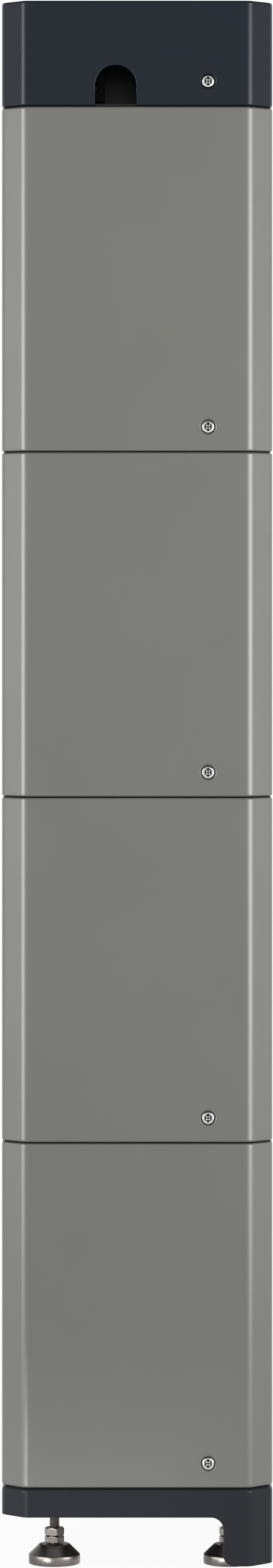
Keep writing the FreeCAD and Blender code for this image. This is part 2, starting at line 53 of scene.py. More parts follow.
def addObject(name, data):
    made = bpy.data.objects.new(name, data)
    scene.collection.objects.link(made)
    return made


# Camera: level, a little above the middle of the tower

photoView = {"eye": (-0.0006, -5.725, 0.945), "lens": 130.7, "sensor": 36, "shiftY": -0.1215}


def makeCamera():
    data = bpy.data.cameras.new("photoCamera")
    data.lens = photoView["lens"]
    data.sensor_width = photoView["sensor"]
    data.shift_y = photoView["shiftY"]
    camera = addObject("photoCamera", data)
    camera.location = photoView["eye"]
    camera.rotation_euler = (radians(90), 0, 0)
    scene.camera = camera


makeCamera()
scene.view_settings.view_transform = "Standard"
print("camera placed")

# Node helpers


def newTree(owner):
    owner.use_nodes = True
    owner.node_tree.nodes.clear()
    return owner.node_tree


def setInputs(tree, node, inputs):  # an input is given a value or the socket that feeds it
    for name, value in inputs.items():
        if isinstance(value, bpy.types.NodeSocket):
            tree.links.new(value, node.inputs[name])
        else:
            node.inputs[name].default_value = value


def addNode(tree, kind, inputs=None, **settings):  # gives the node's outputs
    node = tree.nodes.new("ShaderNode" + kind)
    for name, value in settings.items():
        setattr(node, name, value)
    setInputs(tree, node, inputs or {})
    return node.outputs


def mathNode(tree, operation, first, second=0):
    return addNode(tree, "Math", {0: first, 1: second}, operation=operation)[0]


def rangeNode(tree, value, low, high, outLow=0, outHigh=1):
    limits = {"Value": value, "From Min": low, "From Max": high, "To Min": outLow, "To Max": outHigh}
    return addNode(tree, "MapRange", limits)[0]


def mixColour(tree, factor, first, second):
    return addNode(tree, "Mix", {0: factor, 6: first, 7: second}, data_type="RGBA")[2]


def objectPlace(tree):
    return addNode(tree, "TexCoord")["Object"]


def noiseNode(tree, place, scale, detail):
    return addNode(tree, "TexNoise", {"Vector": place, "Scale": scale, "Detail": detail})[0]


def newGroup(name, inputs, outputs):
    group = bpy.data.node_groups.new(name, "ShaderNodeTree")
    for label, value in inputs.items():
        socket = group.interface.new_socket(name=label, in_out="INPUT", socket_type="NodeSocketFloat")
        socket.default_value = value
    for label in outputs:
        group.interface.new_socket(name=label, in_out="OUTPUT", socket_type="NodeSocketFloat")
    return group, group.nodes.new("NodeGroupInput").outputs, group.nodes.new("NodeGroupOutput")


def useGroup(tree, group, **values):
    return addNode(tree, "Group", values, node_tree=group)


# Shared effects. A span is where a noise or a normal starts to count and where it counts in full.

effect = {
    "mottleScale": 9, "mottleSpan": (0.3, 0.7), "edgeSpan": (0.995, 0.85), "wearScale": 140,
    "wearSpan": (0.42, 0.62), "dustScale": 60, "dustSpan": (0.4, 0.75), "upwardSpan": (0.55, 0.95),
    "lineStretch": 0.02, "lineSpan": (0.3, 0.7), "patchScale": 55, "patchSpan": (0.35, 0.7),
    "bumpDepth": 0.0002,
}


def makeGrainGroup():  # fine grain over a slower ripple, as in powder coat and moulded plastic
    group, given, end = newGroup("fineGrain", {"Fine": 2500, "Ripple": 220, "RippleShare": 0.5},
                                 ("Height", "Mottle"))
    place = objectPlace(group)
    fine = noiseNode(group, place, given["Fine"], 1)
    ripple = noiseNode(group, place, given["Ripple"], 2)
    slow = noiseNode(group, place, effect["mottleScale"], 3)
    share = mathNode(group, "MULTIPLY", ripple, given["RippleShare"])
    setInputs(group, end, {"Height": mathNode(group, "ADD", fine, share),
                           "Mottle": rangeNode(group, slow, *effect["mottleSpan"])})
    return group


def makeEdgeGroup():  # mask of the outer edges, broken up by noise
    group, given, end = newGroup("edgeWear", {"Radius": 0.0006, "Amount": 0.5}, ("Mask",))
    rounded = addNode(group, "Bevel", {"Radius": given["Radius"]}, samples=4)[0]
    flat = addNode(group, "NewGeometry")["Normal"]
    facing = addNode(group, "VectorMath", {0: rounded, 1: flat}, operation="DOT_PRODUCT")["Value"]
    edge = rangeNode(group, facing, *effect["edgeSpan"])
    noise = noiseNode(group, objectPlace(group), effect["wearScale"], 4)
    broken = mathNode(group, "MULTIPLY", edge, rangeNode(group, noise, *effect["wearSpan"]))
    setInputs(group, end, {"Mask": mathNode(group, "MULTIPLY", broken, given["Amount"])})
    return group


def makeDustGroup():  # thin dust on what faces up
    group, given, end = newGroup("dust", {"Amount": 0.3}, ("Mask",))
    normal = addNode(group, "NewGeometry")["Normal"]
    up = addNode(group, "SeparateXYZ", {0: normal})["Z"]
    noise = noiseNode(group, objectPlace(group), effect["dustScale"], 5)
    lying = mathNode(group, "MULTIPLY", rangeNode(group, up, *effect["upwardSpan"]),
                     rangeNode(group, noise, *effect["dustSpan"]))
    setInputs(group, end, {"Mask": mathNode(group, "MULTIPLY", lying, given["Amount"])})
    return group


def makeBrushGroup():  # fine lines along X, or round a vertical axis through the object's origin
    group, given, end = newGroup("brushLines", {"Lines": 900, "Round": 0}, ("Lines", "Patches"))
    place = objectPlace(group)
    x, y, z = addNode(group, "SeparateXYZ", {0: place})
    squares = mathNode(group, "ADD", mathNode(group, "MULTIPLY", x, x), mathNode(group, "MULTIPLY", y, y))
    height = mathNode(group, "ADD", z, mathNode(group, "SQRT", squares))
    stretched = mathNode(group, "MULTIPLY", x, effect["lineStretch"])
    flatLines = addNode(group, "CombineXYZ", {"X": stretched, "Y": y, "Z": z})[0]
    roundLines = addNode(group, "CombineXYZ", {"Z": height})[0]
    chosen = addNode(group, "Mix", {0: given["Round"], 4: flatLines, 5: roundLines}, data_type="VECTOR")[1]
    patches = noiseNode(group, place, effect["patchScale"], 3)
    setInputs(group, end, {"Lines": noiseNode(group, chosen, given["Lines"], 3),
                           "Patches": rangeNode(group, patches, *effect["patchSpan"])})
    return group


groups = {
    "grain": makeGrainGroup(),
    "edge": makeEdgeGroup(),
    "dust": makeDustGroup(),
    "brush": makeBrushGroup(),
}
print("shared effects built")

# Finishes

coatBase = {  # what a coat has unless its own entry says otherwise
    "metallic": 0, "specular": 0.4, "fine": 2600, "ripple": 180, "bump": 0.035, "edge": 0.0006,
    "wear": 0.2, "worn": (0.07, 0.08, 0.095, 1), "dust": 0.02, "deep": 0.965, "roughSpread": 0.02,
    "dustRough": 0.3,
}
coats = {
    "greyPaint": {
        "colour": (0.1145, 0.1145, 0.1034, 1), "metallic": 0.2, "rough": 0.38, "specular": 0.95,
        "wear": 0.25, "worn": (0.34, 0.34, 0.325, 1), "dust": 0.1,
    },
    "darkPaint": {"colour": (0.0039, 0.0075, 0.0128, 1), "rough": 0.28, "specular": 0.25},
    "basePaint": {"colour": (0.0175, 0.0185, 0.0228, 1), "rough": 0.3, "specular": 0.12},
    "blackPlastic": {
        "colour": (0.018, 0.018, 0.02, 1), "rough": 0.52, "fine": 1500, "ripple": 500, "bump": 0.1,
        "wear": 0.3, "worn": (0.07, 0.07, 0.075, 1), "dust": 0.15,
    },
    "framePlastic": {
        "colour": (0.035, 0.036, 0.04, 1), "rough": 0.6, "fine": 1200, "ripple": 300, "bump": 0.12,
        "wear": 0.3, "worn": (0.1, 0.1, 0.11, 1), "dust": 0.12,
    },
    "knobPlastic": {
        "colour": (0.32, 0.028, 0.022, 1), "rough": 0.34, "specular": 0.5, "fine": 1700, "ripple": 500,
        "bump": 0.05, "wear": 0.35, "worn": (0.5, 0.12, 0.1, 1), "dust": 0.08,
    },
    "fuseCeramic": {
        "colour": (0.62, 0.6, 0.55, 1), "rough": 0.42, "specular": 0.5, "fine": 900, "ripple": 260,
        "bump": 0.08, "worn": (0.72, 0.7, 0.66, 1), "dust": 0.15,
    },
    "foamSeal": {
        "colour": (0.01, 0.01, 0.01, 1), "rough": 0.85, "specular": 0.15, "fine": 3200,
        "ripple": 900, "bump": 0.3, "wear": 0.1, "worn": (0.03, 0.03, 0.03, 1),
    },
    "dipCoat": {
        "colour": (0.018, 0.018, 0.02, 1), "rough": 0.46, "specular": 0.28, "fine": 1800,
        "ripple": 260, "bump": 0.06, "wear": 0.3, "worn": (0.12, 0.12, 0.125, 1), "dust": 0.1,
    },
}
dustColour = (0.42, 0.4, 0.37, 1)


def newMaterial(name, own):
    material = bpy.data.materials.new(name)
    tree = newTree(material)
    skin = tree.nodes.new("ShaderNodeBsdfPrincipled")
    setInputs(tree, skin, own)
    addNode(tree, "OutputMaterial", {"Surface": skin.outputs[0]})
    return material, tree, skin


def agedColour(tree, look, body):  # body with its edges worn and dust on top, and the dust's mask
    wear = useGroup(tree, groups["edge"], Amount=look["wear"], Radius=look["edge"])["Mask"]
    dust = useGroup(tree, groups["dust"], Amount=look["dust"])["Mask"]
    return mixColour(tree, dust, mixColour(tree, wear, body, look["worn"]), dustColour), dust


def bumpNode(tree, height, strength):
    given = {"Height": height, "Strength": strength, "Distance": effect["bumpDepth"]}
    return addNode(tree, "Bump", given)[0]


def coatMaterial(name):
    look = {**coatBase, **coats[name]}
    own = {"Specular IOR Level": look["specular"], "Metallic": look["metallic"]}
    material, tree, skin = newMaterial(name, own)
    grain = useGroup(tree, groups["grain"], Fine=look["fine"], Ripple=look["ripple"])
    deep = tuple(look["deep"] * part for part in look["colour"][:3]) + (1,)
    colour, dust = agedColour(tree, look, mixColour(tree, grain["Mottle"], deep, look["colour"]))
    low = look["rough"] - look["roughSpread"]
    high = look["rough"] + look["roughSpread"]
    rough = mathNode(tree, "ADD", rangeNode(tree, grain["Mottle"], 0, 1, low, high),
                     mathNode(tree, "MULTIPLY", dust, look["dustRough"]))
    bump = bumpNode(tree, grain["Height"], look["bump"])
    setInputs(tree, skin, {"Base Color": colour, "Roughness": rough, "Normal": bump})
    return material


metalBase = {  # what a metal has unless its own entry says otherwise
    "roughSpread": 0.1, "lines": 900, "round": 0, "bump": 0.04, "anisotropy": 0.2, "edge": 0.0004,
    "wear": 0.4, "dust": 0.05,
}
metals = {
    "stainless": {
        "colour": (0.22, 0.205, 0.19, 1), "shade": (0.13, 0.115, 0.105, 1), "rough": 0.27,
        "lines": 1500, "round": 1, "bump": 0.05, "anisotropy": 0.45, "wear": 0.5,
        "worn": (0.5, 0.49, 0.48, 1),
    },
    # dark steel for the walls and floor of the screw recess: painted shade in the hollow
    "paintedRecessShade": {
        "colour": (0.06, 0.058, 0.055, 1), "shade": (0.035, 0.034, 0.033, 1), "rough": 0.42,
        "lines": 1500, "round": 1, "bump": 0.05, "anisotropy": 0, "wear": 0.2,
        "worn": (0.2, 0.2, 0.19, 1),
    },
    "screwSteel": {
        "colour": (0.74, 0.74, 0.73, 1), "shade": (0.55, 0.55, 0.55, 1), "rough": 0.16, "roughSpread": 0.08,
        "lines": 1800, "round": 1, "bump": 0.03, "anisotropy": 0, "wear": 0.3,
        "worn": (0.85, 0.85, 0.84, 1), "dust": 0.02,
    },
    "zincSteel": {
        "colour": (0.5, 0.51, 0.53, 1), "shade": (0.38, 0.39, 0.42, 1), "rough": 0.34, "roughSpread": 0.14,
        "lines": 500, "bump": 0.05, "worn": (0.66, 0.67, 0.68, 1), "dust": 0.12,
    },
    "cellCan": {
        "colour": (0.62, 0.63, 0.65, 1), "shade": (0.52, 0.53, 0.56, 1), "rough": 0.3, "lines": 700,
        "bump": 0.03, "anisotropy": 0.3, "wear": 0.3, "worn": (0.8, 0.8, 0.81, 1),
    },
    "copperBar": {
        "colour": (0.72, 0.36, 0.2, 1), "shade": (0.52, 0.24, 0.13, 1), "rough": 0.28, "roughSpread": 0.14,
        "lines": 650, "anisotropy": 0.3, "worn": (0.85, 0.5, 0.33, 1),
    },
    "brassNut": {
        "colour": (0.7, 0.52, 0.25, 1), "shade": (0.52, 0.37, 0.17, 1), "rough": 0.24,
        "worn": (0.85, 0.7, 0.42, 1),
    },
    "blackNut": {
        "colour": (0.03, 0.03, 0.033, 1), "shade": (0.018, 0.018, 0.02, 1), "rough": 0.4,
        "wear": 0.15, "worn": (0.16, 0.15, 0.14, 1), "dust": 0.02,
    },
}


def metalMaterial(name):
    look = {**metalBase, **metals[name]}
    material, tree, skin = newMaterial(name, {"Metallic": 1, "Anisotropic": look["anisotropy"]})
    brush = useGroup(tree, groups["brush"], Lines=look["lines"], Round=look["round"])
    body = mixColour(tree, brush["Patches"], look["shade"], look["colour"])
    low = look["rough"] - look["roughSpread"] / 2
    high = look["rough"] + look["roughSpread"]
    rough = rangeNode(tree, brush["Lines"], *effect["lineSpan"], low, high)
    setInputs(tree, skin, {"Base Color": agedColour(tree, look, body)[0], "Roughness": rough,
                           "Normal": bumpNode(tree, brush["Lines"], look["bump"])})
    return material


boardLook = {
    "mask": (0.012, 0.095, 0.042, 1), "track": (0.03, 0.17, 0.075, 1), "metal": (0.55, 0.55, 0.52, 1),
    "trackScale": 260, "trackWidth": 0.12, "padScale": 110, "padSpan": (0.16, 0.12), "padMetallic": 0.9,
    "fine": 1800, "ripple": 400, "rough": 0.32, "roughSpread": 0.1, "wear": 0.4, "bump": 0.15,
}


def boardMaterial():  # solder mask with tracks and tinned pads
    look = boardLook
    material, tree, skin = newMaterial("circuitBoard", {})
    place = objectPlace(tree)
    bricks = {"Vector": place, "Scale": look["trackScale"], "Mortar Size": look["trackWidth"],
              "Color1": look["mask"], "Color2": look["mask"], "Mortar": look["track"]}
    tracks = addNode(tree, "TexBrick", bricks)
    dots = addNode(tree, "TexVoronoi", {"Vector": place, "Scale": look["padScale"]})
    pads = rangeNode(tree, dots["Distance"], *look["padSpan"])
    tinned = mixColour(tree, pads, tracks["Color"], look["metal"])
    wear = useGroup(tree, groups["edge"], Amount=look["wear"])["Mask"]
    mottle = useGroup(tree, groups["grain"], Fine=look["fine"], Ripple=look["ripple"])["Mottle"]
    rough = rangeNode(tree, mottle, 0, 1, look["rough"], look["rough"] + look["roughSpread"])
    setInputs(tree, skin, {"Base Color": mixColour(tree, wear, tinned, look["track"]), "Roughness": rough,
                           "Metallic": mathNode(tree, "MULTIPLY", pads, look["padMetallic"]),
                           "Normal": bumpNode(tree, tracks["Fac"], look["bump"])})
    return material


materials = {name: coatMaterial(name) for name in coats}
materials.update({name: metalMaterial(name) for name in metals})
materials["circuitBoard"] = boardMaterial()
print("finishes built:", ", ".join(materials))

nodeFinish = {  # finishes of the frame's own nodes, by their slot in the record
    "dark_paint": "darkPaint", "dark_coat": "dipCoat", "grey_paint": "greyPaint",
    "zinc_steel": "zincSteel", "stainless": "stainless", "cell_can": "cellCan", "busbar": "copperBar",
    "black_plastic": "blackPlastic", "knob_plastic": "knobPlastic", "frame_plastic": "framePlastic",
    "circuit_board": "circuitBoard", "fuse_body": "fuseCeramic",
}
slotOf = {finish: slot for slot, finish in nodeFinish.items()}
slotOf.update(basePaint="dark_paint", foamSeal="black_plastic", screwSteel="stainless", brassNut="busbar",
              blackNut="busbar")

# Mesh helpers

weldWithin = {"rings": 1e-7, "cuts": 2e-6}


def newPiece(name, mesh, material, body):
    piece = addObject(name, mesh)
    mesh.materials.clear()
    mesh.materials.append(materials[material])
    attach(piece, body)
    return piece


def smoothByAngle(mesh, degrees):
    for polygon in mesh.polygons:
        polygon.use_smooth = True
    mesh.set_sharp_from_angle(angle=radians(degrees))
    return mesh


def meshFrom(build, name, smoothUpTo=0):
    mesh = bpy.data.meshes.new(name)
    build.normal_update()
    build.to_mesh(mesh)
    build.free()
    return smoothByAngle(mesh, smoothUpTo) if smoothUpTo else mesh


def faceOutward(build):
    bmesh.ops.recalc_face_normals(build, faces=build.faces)
    return build


def opened(mesh):  # a mesh taken back into mesh code
    build = bmesh.new()
    build.from_mesh(mesh)
    return build


def arcPoints(radius, x, y, start, turn, steps):  # pairs from the start angle on, both ends included
    angles = [start + turn * step / steps for step in range(steps + 1)]
    return [(x + radius * cos(a), y + radius * sin(a)) for a in angles]


def turnedRing(radii, z, turn=0):  # one point for each radius, evenly round the Z axis
    angles = [tau * step / len(radii) + turn for step in range(len(radii))]
    return [(radius * cos(a), radius * sin(a), z) for radius, a in zip(radii, angles)]


def addLoft(build, rings, capLow=False, capHigh=False):  # quads between rings of equally many points
    loops = [[build.verts.new(point) for point in ring] for ring in rings]
    for low, high in zip(loops, loops[1:]):
        for index in range(len(low)):
            after = (index + 1) % len(low)
            build.faces.new((low[index], low[after], high[after], high[index]))
    if capLow:
        build.faces.new(list(reversed(loops[0])))
    if capHigh:
        build.faces.new(loops[-1])


def ringSolid(rings):  # closed shape: the first and last rings meet, or each is a point
    build = bmesh.new()
    addLoft(build, rings)
    bmesh.ops.remove_doubles(build, verts=build.verts, dist=weldWithin["rings"])
    return faceOutward(build)


def lathe(profile, steps=64):  # turned shape from (radius, z) points, from the bottom up
    return ringSolid([turnedRing([radius] * steps, z) for radius, z in profile])


def addPrism(build, outline, direction):  # closed straight bar
    addLoft(build, [outline, [Vector(point) + Vector(direction) for point in outline]], True, True)


def addBox(build, low, high):
    size = Vector(high) - Vector(low)
    middle = (Vector(high) + Vector(low)) / 2
    bmesh.ops.create_cube(build, size=1, matrix=Matrix.LocRotScale(middle, None, size))


def softBox(low, high, soft):
    build = bmesh.new()
    addBox(build, low, high)
    bmesh.ops.bevel(build, geom=build.edges[:], offset=soft, segments=2, affect="EDGES", profile=0.5)
    return build


def withModifier(mesh, kind, **settings):  # the mesh that the modifier makes
    body = addObject(mesh.name, mesh)
    modifier = body.modifiers.new(kind.lower(), kind)
    for label, value in settings.items():
        setattr(modifier, label, value)
    bpy.context.view_layer.update()
    done = bpy.data.meshes.new_from_object(body.evaluated_get(bpy.context.evaluated_depsgraph_get()))
    bpy.data.objects.remove(body)
    return done


def cutMesh(mesh, cutter):  # mesh with the closed volumes of cutter taken away
    tool = addObject("cutter", meshFrom(faceOutward(cutter), "cutter"))
    build = opened(withModifier(mesh, "BOOLEAN", object=tool, solver="EXACT"))
    bpy.data.objects.remove(tool)
    bmesh.ops.remove_doubles(build, verts=build.verts, dist=weldWithin["cuts"])
    bmesh.ops.dissolve_degenerate(build, edges=build.edges, dist=weldWithin["cuts"])
    return meshFrom(build, mesh.name)


def evenShading(mesh):  # large flats keep their own normal beside narrow rounded strips
    return withModifier(smoothByAngle(mesh, 32), "WEIGHTED_NORMAL", keep_sharp=True, weight=100)


# Casings: bent sheet with chamfered, softly bent corners and rounded rims

casing = {
    "chamfer": 0.022, "bend": 0.012, "bendSteps": 8, "sheet": 0.002, "flange": 0.006, "rimSteps": 5,
    "moduleRim": 0.0022, "hoodRim": 0.0024, "baseRim": 0.004,
    "sharpFrom": 0.9,  # radians
}
lockShape = {
    "x": 0.0685, "rise": 0.0235, "dish": 0.0083, "lip": 0.0078, "bore": 0.0071,
    "dishSteps": ((0.0002, -0.0018), (0, -0.0004), (-0.0001, -0.00005), (-0.0003, 0.00003)),
    "lipSteps": ((0.0001, -0.00005), (-0.0002, -0.00028), (-0.0005, -0.00062)),
    "boreSteps": ((0.00012, -0.00105), (0, -0.0016)), "boreWall": 0.0012, "seatDepth": 0.004,
    "seatFloor": 0.001, "shankHole": 0.0036, "holeSteps": 48, "holeFront": 0.002, "holeLength": 0.006,
}
modules = [f"module_{number}" for number in range(1, 5)]
moduleLow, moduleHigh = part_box("module_1_casing")
halfWidth = (moduleHigh.x - moduleLow.x) / 2
halfDepth = (moduleHigh.y - moduleLow.y) / 2


def bendCentres():  # centre and first angle of each of the eight bends
    slant = (halfWidth + halfDepth - casing["chamfer"]) / sqrt(2)
    reaches = [halfWidth, slant, halfDepth, slant] * 2
    centres = []
    for index in range(8):
        a = index * pi / 4
        b = a + pi / 4
        da = reaches[index] - casing["bend"]
        db = reaches[(index + 1) % 8] - casing["bend"]
        turn = sin(b - a)
        x = (da * sin(b) - db * sin(a)) / turn
        y = (db * cos(a) - da * cos(b)) / turn
        centres.append((x, y, a))
    return centres


bends = bendCentres()


def casingRing(inset, z):
    ring = []
    for x, y, start in bends:
        ring += arcPoints(casing["bend"] - inset, x, y, start, pi / 4, casing["bendSteps"])
    return [(x, y, z) for x, y in ring]


def rimRings(radius, z, facing):  # rounded rim; facing is 1 at the top and -1 at the bottom
    quarter = arcPoints(radius, radius, radius, -pi / 2, -pi / 2, casing["rimSteps"])
    return [casingRing(inset, z - facing * depth) for inset, depth in quarter]


# A bent sheet shell stands on z = 0. An open end has a narrow flange, or none without a rim.
def shellMesh(name, height, topRim, bottomRim, topOpen, bottomOpen):
    build = bmesh.new()
    rings = rimRings(bottomRim, 0, -1) if bottomRim else [casingRing(0, 0)]
    if bottomRim and bottomOpen:
        rings.insert(0, casingRing(casing["flange"], 0))
    rings += reversed(rimRings(topRim, height, 1))
    if topOpen:
        rings.append(casingRing(casing["flange"], height))
    addLoft(build, rings, not bottomOpen, not topOpen)
    shell = meshFrom(faceOutward(build), name)
    return withModifier(shell, "SOLIDIFY", thickness=casing["sheet"], offset=-1, use_even_offset=True)


def addLockHoles(build):  # room for the dished seats in both end walls
    shape = lockShape
    circle = arcPoints(shape["dish"], shape["x"], shape["rise"], 0, tau, shape["holeSteps"])[:-1]
    for side in (-1, 1):
        outline = [(x, side * (halfDepth + shape["holeFront"]), z) for x, z in circle]
        addPrism(build, outline, (0, -side * shape["holeLength"], 0))


floorRoom = {
    "tongueIn": 0.0088, "tongueHalf": (0.0127, 0.0022), "plugHalf": (0.0456, 0.0126), "below": 0.002,
    "above": 0.004,
}


def addFloorHoles(build):  # room for the tongues and the plug of the unit below
    room = floorRoom
    plugLow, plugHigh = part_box("module_1_plug")
    holes = [(0, (plugLow.y + plugHigh.y) / 2, *room["plugHalf"])]
    tongueY = halfDepth - room["tongueIn"]
    for y in (-tongueY, tongueY):
        for x in (-lockShape["x"], lockShape["x"]):
            holes.append((x, y, *room["tongueHalf"]))
    for x, y, halfX, halfY in holes:
        addBox(build, (x - halfX, y - halfY, -room["below"]), (x + halfX, y + halfY, room["above"]))


def softenEdges(mesh, test, width, steps, clamp):  # rounds the sharp edges whose middle passes the test
    build = opened(mesh)
    sharp = [e for e in build.edges if e.calc_face_angle(0) > casing["sharpFrom"]]
    chosen = [e for e in sharp if test((e.verts[0].co + e.verts[1].co) / 2)]
    bmesh.ops.bevel(build, geom=chosen, offset=width, segments=steps, affect="EDGES", profile=0.5,
                    clamp_overlap=clamp)
    return meshFrom(build, mesh.name)


def makeModules():
    rim = casing["moduleRim"]
    plain = shellMesh("moduleShell", moduleHigh.z - moduleLow.z, rim, rim, True, False)
    cutter = bmesh.new()
    addLockHoles(cutter)
    addFloorHoles(cutter)
    shell = evenShading(cutMesh(plain, cutter))
    for name in modules:
        piece = newPiece(name + "_shell", shell, "greyPaint", name)
        piece.location.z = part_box(name + "_casing")[0].z
        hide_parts(name + "_casing")


arch = {
    "x": -0.0207, "width": 0.04, "height": 0.0392, "steps": 40, "below": 0.01, "front": 0.002,
    "length": 0.012, "edge": 0.0007, "edgeSteps": 3, "edgeFrom": 0.003, "near": 0.0005, "onFace": 0.0001,
}


def archOutline():
    radius = arch["width"] / 2
    y = -halfDepth - arch["front"]
    points = arcPoints(radius, arch["x"], arch["height"] - radius, pi, -pi, arch["steps"])
    points += [(arch["x"] + side * radius, -arch["below"]) for side in (1, -1)]
    return [(x, y, z) for x, z in points]


def onArch(point):
    away = abs(point.x - arch["x"])
    onWall = abs(point.y + halfDepth) < arch["onFace"]
    return onWall and away < arch["width"] / 2 + arch["near"] and point.z > arch["edgeFrom"]


def makeHood():
    low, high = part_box("hood")
    rim = casing["hoodRim"]
    plain = shellMesh("hoodShell", high.z - low.z, rim, rim, False, True)
    cutter = bmesh.new()
    addLockHoles(cutter)
    addPrism(cutter, archOutline(), (0, arch["length"], 0))
    soft = softenEdges(cutMesh(plain, cutter), onArch, arch["edge"], arch["edgeSteps"], False)
    piece = newPiece("hood_shell", evenShading(soft), "darkPaint", "hood")
    piece.location.z = low.z
    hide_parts("hood")


skirt = {
    "returnX": 0.0833, "innerRadius": 0.012, "cornerRadius": 0.0105, "steps": 16, "edge": 0.0005,
    "edgeSteps": 2, "edgeTo": 0.001, "past": 0.01,
}
baseLow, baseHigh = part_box("base_plinth")
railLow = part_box("base_rails")[0]


def underPlinth(y):  # outline of what is cut away under the plinth, left of the skirt's rounded return
    inner = skirt["innerRadius"]
    outer = skirt["cornerRadius"]
    left = -halfWidth - skirt["past"]
    cornerX = skirt["returnX"] + outer
    quarter = pi / 2
    points = [(left, -skirt["past"]), (cornerX, -skirt["past"])]
    points += arcPoints(outer, cornerX, baseLow.z + outer, 3 * quarter, -quarter, skirt["steps"])
    points += arcPoints(inner, skirt["returnX"] - inner, railLow.z - inner, 0, quarter, skirt["steps"])
    points.append((left, railLow.z))
    return [(x, y, z) for x, z in points]


def onPlinthEdge(point):
    return point.z < railLow.z + skirt["edgeTo"] - baseLow.z


def makePlinth():
    plain = shellMesh("plinthShell", baseHigh.z - baseLow.z, casing["baseRim"], 0, True, True)
    cutter = bmesh.new()
    reach = halfDepth + skirt["past"]
    addPrism(cutter, underPlinth(-reach), (0, 2 * reach, 0))
    bmesh.ops.translate(cutter, verts=cutter.verts, vec=(0, 0, -baseLow.z))
    soft = softenEdges(cutMesh(plain, cutter), onPlinthEdge, skirt["edge"], skirt["edgeSteps"], True)
    piece = newPiece("base_shell", evenShading(soft), "basePaint", "base")
    piece.location.z = baseLow.z
    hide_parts("base_plinth")


makeModules()
makeHood()
makePlinth()
print("casings built")

# Foam seals in the seams, each on the rim of the unit below

sealShape = {
    "moduleInset": 0.0026, "baseInset": 0.0042, "innerInset": 0.0057, "height": 0.0011, "round": 0.0004,
    "roundMiddle": (0.4, 0.3),  # shares of the rounding, in from the side and down from the top
}


def sealMesh(outer, name):
    inner = sealShape["innerInset"]
    height = sealShape["height"]
    soft = sealShape["round"]
    across, down = (soft * share for share in sealShape["roundMiddle"])
    side = ((0, 0), (0, height - soft), (across, height - down), (soft, height))
    profile = [(outer + x, z) for x, z in side] + [(inner - x, z) for x, z in reversed(side)]
    profile.append((outer, 0))
    return meshFrom(ringSolid([casingRing(inset, z) for inset, z in profile]), name, 60)


def makeSeals():
    onModule = sealMesh(sealShape["moduleInset"], "moduleSeal")
    for name in modules:
        piece = newPiece(name + "_seal", onModule, "foamSeal", name)
        piece.location.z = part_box(name + "_casing")[1].z
    onBase = sealMesh(sealShape["baseInset"], "baseSeal")
    newPiece("base_seal", onBase, "foamSeal", "base").location.z = baseHigh.z


makeSeals()
print("seals laid")

# Lock screws in dished seats, with their square nuts behind the tongues

screwShape = {
    "head": 0.00595, "headHeight": 0.0036, "headUnder": 0.0003, "sink": 0.0004, "edge": 0.0014,
    "edgeDrop": 0.9, "edgeRise": 0.75, "edgeSteps": 6,
    "crownSteps": ((1.1, 0.00003), (0.6, 0)),  # share of the recess, distance below the top
    "recess": 0.0036, "recessDepth": 0.0022, "scallops": 6, "scallopDepth": 0.06, "scallopSteps": 8,
    "slotLength": 0.0088, "slotWidth": 0.0027, "slotDepth": 0.0016, "slotSteps": 12, "cutAbove": 0.001,
    "post": 0.00105, "postOut": 0.00125, "postTop": 0.0006,
    "postSteps": ((1, 0.0004), (0.85, 0.0001), (0.5, 0)),  # share of the radius, distance below the tip
    "postFoot": 1.15, "postSink": 0.0001, "postSides": 12, "shank": 0.003, "shankLength": 0.013,
    "shankEnd": 0.0005, "nut": 0.005, "nutFrom": 0.0104, "nutTo": 0.0152, "nutSoft": 0.0004,
    "shadeFrom": 0.0001, "shadeTo": 0.0024, "tipBright": 0.00095, "tipUp": 0.3,
}


def facingEnd(side):  # turns a piece made along +Z to look out of that end
    return Matrix.Rotation(radians(90 if side < 0 else -90), 4, "X")


def seatMesh():
    shape = lockShape
    profile = []
    for part in ("dish", "lip", "bore"):
        profile += [(shape[part] + out, z) for out, z in shape[part + "Steps"]]
    floor = -shape["seatDepth"]
    under = floor - shape["seatFloor"]
    back = shape["bore"] + shape["boreWall"]
    profile += [(shape["bore"], floor), (shape["shankHole"], floor), (shape["shankHole"], under),
                (back, under), (back, profile[0][1]), profile[0]]
    return meshFrom(lathe(profile), "lockSeat", 50)


def cutRecess(head, top):  # a scalloped round, and a slot across it
    shape = screwShape
    above = top + shape["cutAbove"]
    count = shape["scallops"] * shape["scallopSteps"]
    waves = [cos(shape["scallops"] * (tau * step / count + pi / 2)) for step in range(count)]
    scallops = turnedRing([shape["recess"] * (1 + shape["scallopDepth"] * wave) for wave in waves], above)
    radius = shape["slotWidth"] / 2
    reach = shape["slotLength"] / 2 - radius
    points = arcPoints(radius, 0, reach, 0, pi, shape["slotSteps"])
    points += arcPoints(radius, 0, -reach, pi, pi, shape["slotSteps"])
    slot = [(x, y, above) for x, y in points]
    for outline, floor in ((scallops, top - shape["recessDepth"]), (slot, top - shape["slotDepth"])):
        cutter = bmesh.new()
        addPrism(cutter, outline, (0, 0, floor - above))
        head = cutMesh(head, cutter)
    return head


def addPosts(build, top):  # four small tapered posts standing in the recess
    shape = screwShape
    tip = top - shape["postTop"]
    levels = [(shape["postFoot"], top - shape["recessDepth"] - shape["postSink"])]
    levels += [(share, tip - below) for share, below in shape["postSteps"]]
    for x, y in ((-1, -1), (1, -1), (1, 1), (-1, 1)):
        centre = Vector((x * shape["postOut"], y * shape["postOut"], 0))
        rings = []
        for share, z in levels:
            ring = turnedRing([shape["post"] * share] * shape["postSides"], z)
            rings.append([centre + Vector(point) for point in ring])
        addLoft(build, rings, True, True)


